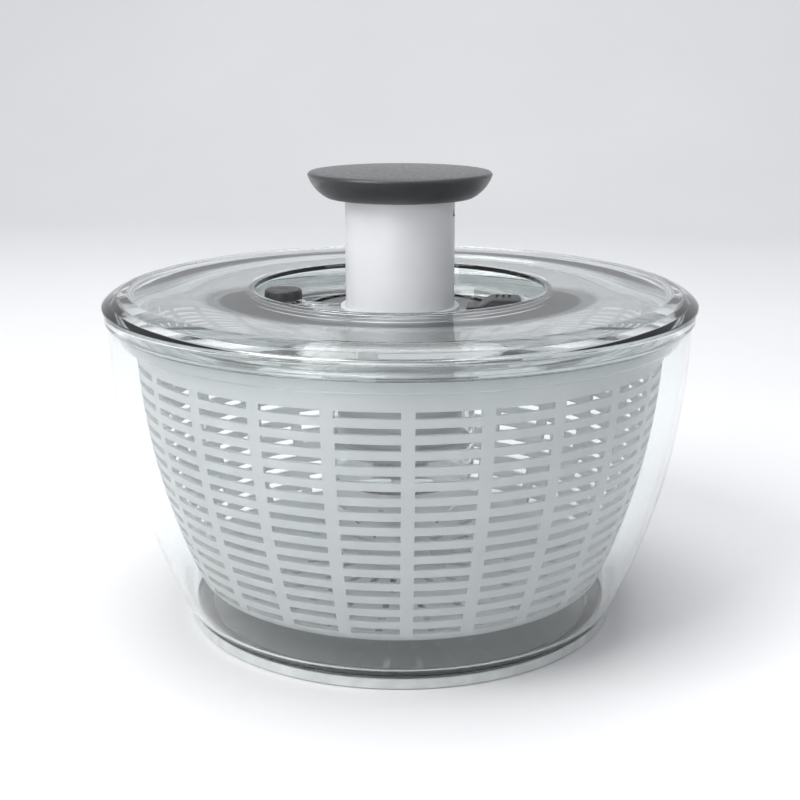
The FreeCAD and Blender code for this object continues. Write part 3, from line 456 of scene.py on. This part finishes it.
BOWL_OUTER_ARC, BOWL_INNER_ARC = 310.0, 307.4
BOWL_CORNER_ARC = 298.0
BOWL_CORNER_DEGREES = 24.6
BOWL_CORNER_OUTSIDE, BOWL_CORNER_INSIDE = 12.0, 9.4
BOWL_WALL = 2.6
FOOT_OUTSIDE, FOOT_INSIDE = 98.0, 90.0


def polar(radius, degrees, centre=(SIDE_R, SIDE_Z)):
    """A point on an arc about a centre, counted down from level."""
    a = math.radians(degrees)
    return centre[0] + radius * math.cos(a), centre[1] - radius * math.sin(a)


def side_radius(arc, level):
    """How far from the axis an arc about the sides' centre is at a height."""
    return SIDE_R + math.sqrt(arc**2 - (SIDE_Z - level) ** 2)


def bowl():
    """The clear bowl: curved side, rim band, foot, and a boss that holds the pin."""
    foot = BOWL_CORNER_DEGREES
    corner = polar(BOWL_CORNER_ARC, foot)
    floor_top = corner[1] - BOWL_CORNER_INSIDE
    foot_reach = FOOT_OUTSIDE - corner[0]
    foot_level = corner[1] - math.sqrt(BOWL_CORNER_OUTSIDE**2 - foot_reach**2)
    made = lathed(
        "clear_bowl",
        [
            (0.0, floor_top - BOWL_WALL),
            (FOOT_INSIDE, floor_top - BOWL_WALL),
            (FOOT_INSIDE, 2.0),
            (FOOT_OUTSIDE, 2.0),
            (FOOT_OUTSIDE, foot_level),
            (*polar(BOWL_OUTER_ARC, foot), BOWL_CORNER_OUTSIDE, 1),
            (131.0, SIDE_Z, BOWL_OUTER_ARC, 1),
            (132.6, 141.2),
            (132.6, 144.8),
            (131.4, 146.0, 1.2, 1),
            (129.2, 146.0),
            (128.4, 145.2, 0.8, 1),
            (128.4, SIDE_Z),
            (*polar(BOWL_INNER_ARC, foot), BOWL_INNER_ARC, -1),
            (corner[0], floor_top, BOWL_CORNER_INSIDE, -1),
            (10.2, floor_top),
            (9.0, floor_top + 1.2),
            (8.4, 18.0),
            (3.0, 18.0),
            (3.0, 10.0),
            (0.0, 10.0),
        ],
        soft=0.3,
        segments=256,
    )
    return placed(made, "bowl_unit", "bowl")


def foot_ring():
    """The soft ring under and round the bowl's foot."""
    made = lathed(
        "foot_ring",
        [
            (89.8, 0.0),
            (98.2, 0.0),
            (99.2, 1.0, 1.0, 1),
            (99.2, 4.2),
            (98.7, 4.7),
            (98.05, 4.7),
            (98.05, 2.0),
            (89.0, 2.0),
            (89.0, 0.8),
        ],
        soft=0.25,
    )
    return placed(made, "bowl_unit", "base_ring")


# ---------------------------------------------------------------- basket

COLUMNS, ROWS = 24, 16
HALF_SECTOR = 180.0 / COLUMNS
OUTER_ARC, INNER_ARC = 298.6, 296.8
TOP_ROW, ROW_PITCH, HALF_SLOT_HEIGHT = 123.4, 6.5, 1.45
HALF_RIB = 2.7
BASKET_CORNER_OUTSIDE, BASKET_CORNER_INSIDE = 8.0, 6.2
BASKET_CORNER_DEGREES = 22.86
CORNER_STEPS = 6
FLOOR_UNDER, FLOOR_TOP = 19.1, 20.9
FLOOR_SLOTS = ((86.0, 71.0), (66.0, 50.0), (44.0, 24.0))
HALF_FLOOR_SLOT = 1.5
HUB_UNDER, HUB_TOP = 32.6, 34.6
NOTCHED = (0, 6, 12, 18)
HALF_NOTCH, NOTCH_RADIUS = 4.0, 119.0
NOTCH_BACK = 119.2


def basket_stations():
    """Pairs of points across the basket's wall, from its rim to its hub.

    Each row is (outside, inside, half slot angle in degrees, whether a slot runs from here to the next
    pair, whether the notches reach this far).
    """
    rim_half = 6.19
    rim_inside = 117.2
    rows = [
        ((120.3, 137.6), (rim_inside, 137.6), rim_half, False, True),
        ((120.3, 133.72), (rim_inside, 133.72), rim_half, False, True),
        ((120.3, 133.2), (rim_inside, 133.68), rim_half, False, False),
        ((side_radius(OUTER_ARC, 132.4), 132.4), (rim_inside, 132.4), rim_half, False, False),
        (
            (side_radius(OUTER_ARC, 131.4), 131.4),
            (side_radius(INNER_ARC, 131.4), 131.4),
            rim_half,
            False,
            False,
        ),
    ]
    for row in range(ROWS):
        middle = TOP_ROW - ROW_PITCH * row
        radius = side_radius(OUTER_ARC, middle)
        half = radius * math.sin(math.radians(HALF_SECTOR)) - HALF_RIB
        angle = math.degrees(math.asin(half / radius))
        for level, slotted in ((middle + HALF_SLOT_HEIGHT, True), (middle - HALF_SLOT_HEIGHT, False)):
            outside = (side_radius(OUTER_ARC, level), level)
            inside = (side_radius(INNER_ARC, level), level)
            rows.append((outside, inside, angle, slotted, False))
    foot = BASKET_CORNER_DEGREES
    corner = polar(OUTER_ARC - BASKET_CORNER_OUTSIDE, foot)
    first_angle, last_angle = 5.8, 1.0
    for step in range(CORNER_STEPS + 1):
        turn = foot + (90.0 - foot) * step / CORNER_STEPS
        angle = first_angle + (last_angle - first_angle) * step / CORNER_STEPS
        outside = polar(BASKET_CORNER_OUTSIDE, turn, corner)
        inside = polar(BASKET_CORNER_INSIDE, turn, corner)
        rows.append((outside, inside, angle, False, False))
    for start, end in FLOOR_SLOTS:
        for radius, slotted in ((start, True), (end, False)):
            angle = math.degrees(math.asin(HALF_FLOOR_SLOT / radius))
            rows.append(((radius, FLOOR_UNDER), (radius, FLOOR_TOP), angle, slotted, False))
    hub_angle = 4.0
    hub = [
        ((15.0, FLOOR_UNDER), (15.0, FLOOR_TOP)),
        ((8.5, FLOOR_UNDER), (10.8, 33.0)),
        ((6.3, FLOOR_UNDER), (9.2, HUB_TOP)),
        ((6.3, 20.0), (7.0, HUB_TOP)),
        ((7.06, 20.0), (5.0, HUB_TOP)),
        ((7.06, HUB_UNDER), (3.0, HUB_TOP)),
    ]
    rows.extend((outside, inside, hub_angle, False, False) for outside, inside in hub)
    return rows


def basket():
    """The frosted basket: one closed mesh with its slots left open and all its edges rounded."""
    stations = basket_stations()
    bm = bmesh.new()
    outer = []
    inner = []
    open_cells = []
    for outside, inside, half, slotted, notched in stations:
        lip = math.degrees(math.asin(HALF_NOTCH / NOTCH_RADIUS)) if notched else half / 3
        edge = lip + 0.3 if notched else half * 2 / 3
        offsets = (-HALF_SECTOR, -half, -edge, -lip, lip, edge, half)
        lips = (3, 4)
        outer_ring = []
        inner_ring = []
        for sector in range(COLUMNS):
            for k, offset in enumerate(offsets):
                a = math.radians(sector * 2 * HALF_SECTOR + offset)
                cut_back = notched and sector in NOTCHED and k in lips
                inside_radius = NOTCH_BACK if cut_back else inside[0]
                for ring, r, z in ((outer_ring, *outside), (inner_ring, inside_radius, inside[1])):
                    ring.append(bm.verts.new((r * math.cos(a) * MM, r * math.sin(a) * MM, z * MM)))
        outer.append(outer_ring)
        inner.append(inner_ring)
        per_sector = len(offsets)
        open_cells.append([slotted and 1 <= k % per_sector <= 5 for k in range(COLUMNS * per_sector)])
    around = len(outer[0])
    last = len(stations) - 1

    def is_open(row, column):
        return 0 <= row < last and open_cells[row][column % around]

    for row in range(last):
        for k in range(around):
            after = (k + 1) % around
            if is_open(row, k):
                continue
            bm.faces.new((outer[row][k], outer[row + 1][k], outer[row + 1][after], outer[row][after]))
            bm.faces.new((inner[row][k], inner[row][after], inner[row + 1][after], inner[row + 1][k]))
    for row in range(last + 1):
        for k in range(around):
            after = (k + 1) % around
            if row < last and is_open(row, k) and not is_open(row, k - 1):
                bm.faces.new((outer[row][k], inner[row][k], inner[row + 1][k], outer[row + 1][k]))
            if row < last and is_open(row, k - 1) and not is_open(row, k):
                bm.faces.new((outer[row + 1][k], inner[row + 1][k], inner[row][k], outer[row][k]))
            above = is_open(row - 1, k)
            here = is_open(row, k)
            if row == 0 or (above and not here):
                bm.faces.new((outer[row][k], outer[row][after], inner[row][after], inner[row][k]))
            elif here and not above:
                bm.faces.new((inner[row][k], inner[row][after], outer[row][after], outer[row][k]))
    for skin, level in ((outer[last], HUB_UNDER), (inner[last], HUB_TOP)):
        pole = bm.verts.new((0.0, 0.0, level * MM))
        for k in range(around):
            bm.faces.new((skin[k], skin[(k + 1) % around], pole))
    bmesh.ops.recalc_face_normals(bm, faces=bm.faces)
    made = finished("frosted_basket", bm)
    soft = made.modifiers.new("soft_edges", "BEVEL")
    soft.width = 0.35 * MM
    soft.segments = 2
    soft.limit_method = "ANGLE"
    soft.angle_limit = math.radians(38.0)
    soft.harden_normals = False
    made.modifiers.new("shading", "WEIGHTED_NORMAL").keep_sharp = True
    return placed(made, "basket_unit", "basket")


# ---------------------------------------------------------------- lid and knob

BRAKE_AT = 54.0


def lid():
    """The clear lid, with its corners rounded, its collar round the brake and its holes."""
    made = lathed(
        "clear_lid",
        [
            (25.3, 139.0),
            (66.0, 139.0),
            (67.6, 140.6, 1.6, 1),
            (68.4, 149.8),
            (120.7, 149.8),
            (125.7, 147.45),
            (123.4, 133.0),
            (125.2, 133.0),
            (127.5, 146.05),
            (133.5, 146.05),
            (133.5, 147.35),
            (122.4, 152.6, 16.5, 1),
            (121.6, 152.6),
            (121.6, 152.0),
            (68.6, 152.0),
            (68.2, 152.5),
            (66.4, 152.5),
            (66.0, 152.1),
            (65.0, 143.0),
            (64.2, 142.2, 0.8, -1),
            (26.1, 142.2),
            (26.1, 140.4),
            (25.3, 140.4),
        ],
        soft=0.4,
        segments=256,
    )
    collar = lathed(
        "collar",
        [(9.4, 141.9), (10.1, 141.9), (10.1, 143.8), (9.4, 143.8)],
        soft=0.15,
        segments=64,
        at=(-BRAKE_AT, 0.0),
    )
    carved(made, [collar], "UNION")
    stem_hole = lathed(
        "stem_hole",
        [(0.0, 130.0), (3.8, 130.0), (3.8, 150.0), (0.0, 150.0)],
        soft=0.0,
        segments=48,
        at=(-BRAKE_AT, 0.0),
    )
    neck_slot = block("neck_slot", (35.6, -2.9, 130.0), (48.4, 2.9, 150.0))
    carved(made, [stem_hole, neck_slot])
    return placed(made, "lid_unit", "lid_shell")


def knob():
    """The soft knob: flared side, gently domed crown, and a recess for the disc inside it."""
    made = lathed(
        "soft_knob",
        [
            (24.8, 192.4),
            (33.0, 192.4),
            (41.3, 202.2, 17.0, 1),
            (40.0, 203.6, 1.5, 1),
            (0.0, 204.6, 800.5, 1),
            (0.0, 199.42),
            (35.02, 199.42),
            (35.02, 195.0),
            (24.8, 195.0),
        ],
        soft=0.5,
    )
    return placed(made, "plunger_unit", "knob_cap")


def brake():
    """The round brake button with a dished crown."""
    made = lathed(
        "brake_cap",
        [
            (0.0, 148.3),
            (3.52, 148.3),
            (3.52, 145.0),
            (4.9, 145.0),
            (4.9, 147.5),
            (7.4, 147.5),
            (7.4, 145.0),
            (8.9, 145.0),
            (8.5, 148.3),
            (7.4, 149.4, 1.1, 1),
            (0.0, 149.0, 68.6, -1),
        ],
        soft=0.25,
        segments=96,
        at=(-BRAKE_AT, 0.0),
    )
    return placed(made, "brake_unit", "brake_button")


# ---------------------------------------------------------------- springs

STEPS_PER_TURN, WIRE_SIDES = 40, 12


def spring(node, wire, turns):
    """A wire coil in metres that fills its node's box."""
    low, high = (Vector(corner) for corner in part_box(node))
    middle = (low + high) / 2
    radius = (high.x - low.x - wire) / 2
    length = high.z - low.z
    rise = (length - wire) / turns
    spokes = [math.tau * k / WIRE_SIDES for k in range(WIRE_SIDES)]
    bm = bmesh.new()
    rings = []
    for i in range(round(turns * STEPS_PER_TURN) + 1):
        turn = math.tau * i / STEPS_PER_TURN
        out = Vector((math.cos(turn), math.sin(turn), 0.0))
        along = Vector((-math.sin(turn) * radius, math.cos(turn) * radius, rise / math.tau)).normalized()
        up = along.cross(out).normalized()
        level = low.z + wire / 2 + rise * i / STEPS_PER_TURN
        point = Vector((middle.x, middle.y, level)) + out * radius
        ring = []
        for a in spokes:
            ring.append(bm.verts.new(point + (out * math.cos(a) + up * math.sin(a)) * wire / 2))
        rings.append(ring)
    for ring, after in zip(rings, rings[1:]):
        for k in range(WIRE_SIDES):
            following = (k + 1) % WIRE_SIDES
            bm.faces.new((ring[k], ring[following], after[following], after[k]))
    bm.faces.new(rings[0])
    bm.faces.new(rings[-1])
    bmesh.ops.recalc_face_normals(bm, faces=bm.faces)
    made = finished(f"{node}_coil", bm)
    placed(made, "lid_unit", node)
    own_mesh(made)
    return made


for make in (bowl, foot_ring, basket, lid, knob, brake):
    make()
spring("return_spring", wire=0.0016, turns=9)
spring("brake_spring", wire=0.0006, turns=4)


# ---------------------------------------------------------------- stage, light and camera


def stage_material():
    """Pale matte paper with a little unevenness."""
    g = Graph("stage")
    cloud = g.between(g.noise(3.0, 3.0), 0.0, 1.0)
    g.set(Base_Color=g.mix(cloud, (0.74, 0.74, 0.75), (0.76, 0.76, 0.77)), Roughness=0.6)
    g.bump(g.noise(600.0, 3.0), 0.03, 0.0001)
    return g.material


def backdrop():
    """A floor that curves up behind the object into a wall."""
    width = 6.0
    front = -3.0
    bend_at = 1.3
    bend = 1.0
    high = 3.5
    steps = 24
    just_below = -0.0002
    line = [(front, 0.0), (bend_at, 0.0)]
    for i in range(1, steps + 1):
        turn = math.pi / 2 * i / steps
        line.append((bend_at + bend * math.sin(turn), bend * (1 - math.cos(turn))))
    line.append((bend_at + bend, high))
    mesh = bpy.data.meshes.new("backdrop")
    verts = [(x, y, z) for y, z in line for x in (-width / 2, width / 2)]
    faces = [(2 * i, 2 * i + 1, 2 * i + 3, 2 * i + 2) for i in range(len(line) - 1)]
    mesh.from_pydata(verts, [], faces)
    mesh.shade_smooth()
    made = linked("backdrop", mesh)
    made.data.materials.append(stage_material())
    made.location.z = just_below
    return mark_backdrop(made)


def softbox(name, place, target, size, power, colour=(1.0, 1.0, 1.0)):
    """A rectangular light of a size in metres that faces its target, unseen by the camera."""
    light = bpy.data.lights.new(name, "AREA")
    light.shape = "RECTANGLE"
    light.size, light.size_y = size
    light.energy = power
    light.color = colour
    made = linked(name, light)
    made.location = place
    made.rotation_euler = (Vector(target) - Vector(place)).to_track_quat("-Z", "Y").to_euler()
    made.visible_camera = False
    return made


backdrop()
middle = (Vector(cad_low) + Vector(cad_high)) / 2
softbox("key", (-0.9, -0.9, 1.3), middle, (1.0, 1.0), 24.0)
softbox("fill", (1.3, -0.9, 0.7), middle, (1.0, 1.2), 2.0, (0.95, 0.97, 1.0))
softbox("top", (0.0, 0.1, 1.7), middle, (1.1, 1.1), 17.0)
softbox("front", (-0.7, -1.6, 0.4), middle, (1.3, 0.7), 8.0)

world = bpy.data.worlds.new("studio")
world.use_nodes = True
background = world.node_tree.nodes["Background"]
background.inputs["Color"].default_value = (0.95, 0.97, 1.0, 1.0)
background.inputs["Strength"].default_value = 0.58
scene.world = world
scene.view_settings.view_transform = "Standard"

AZIMUTH = math.radians(6.0)
DISTANCE = 0.62
CAMERA_HEIGHT = 0.262
LOOK_AT = Vector((0.0, 0.0, 0.098))
camera = linked("camera", bpy.data.cameras.new("camera"))
camera.location = (DISTANCE * math.sin(AZIMUTH), -DISTANCE * math.cos(AZIMUTH), CAMERA_HEIGHT)
camera.rotation_euler = (LOOK_AT - camera.location).to_track_quat("-Z", "Y").to_euler()
camera.data.sensor_width = 36.0
camera.data.lens = 62.0
camera.data.clip_start = 0.01
scene.camera = camera
scene.cycles.max_bounces = 20
scene.cycles.transmission_bounces = 20
scene.cycles.transparent_max_bounces = 16
scene.cycles.diffuse_bounces = 4
scene.cycles.glossy_bounces = 6
